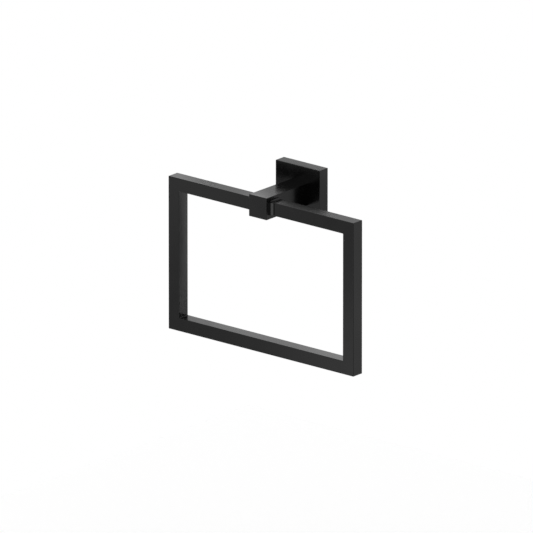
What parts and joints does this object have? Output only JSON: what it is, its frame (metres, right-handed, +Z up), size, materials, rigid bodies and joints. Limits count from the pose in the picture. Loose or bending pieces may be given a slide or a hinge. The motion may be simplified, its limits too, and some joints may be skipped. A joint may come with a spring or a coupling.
{
  "type": "towel ring",
  "caption": "Rectangular towel ring of square bar in satin black, held through a square post on a square wall cover that hooks over a hidden screw-on bracket.",
  "frame": {"origin": "on the wall plane, on the post's axis, midway between the bracket's two screw slots", "axes": "+X along the wall to the right as seen from the room, +Y into the wall, +Z up"},
  "size_m": [0.21, 0.065, 0.1589],
  "materials": {
    "black_coating": "satin",
    "plated_steel": "satin",
    "black_steel": "satin"
  },
  "bodies": {
    "root": {"ring_frame": "black_coating", "post": "black_coating", "cover": "black_coating", "wall_bracket": "plated_steel", "post_washer": "plated_steel", "post_screw": "plated_steel", "ring_set_screw": "black_steel", "cover_set_screw": "black_steel"}
  },
  "joints": []
}
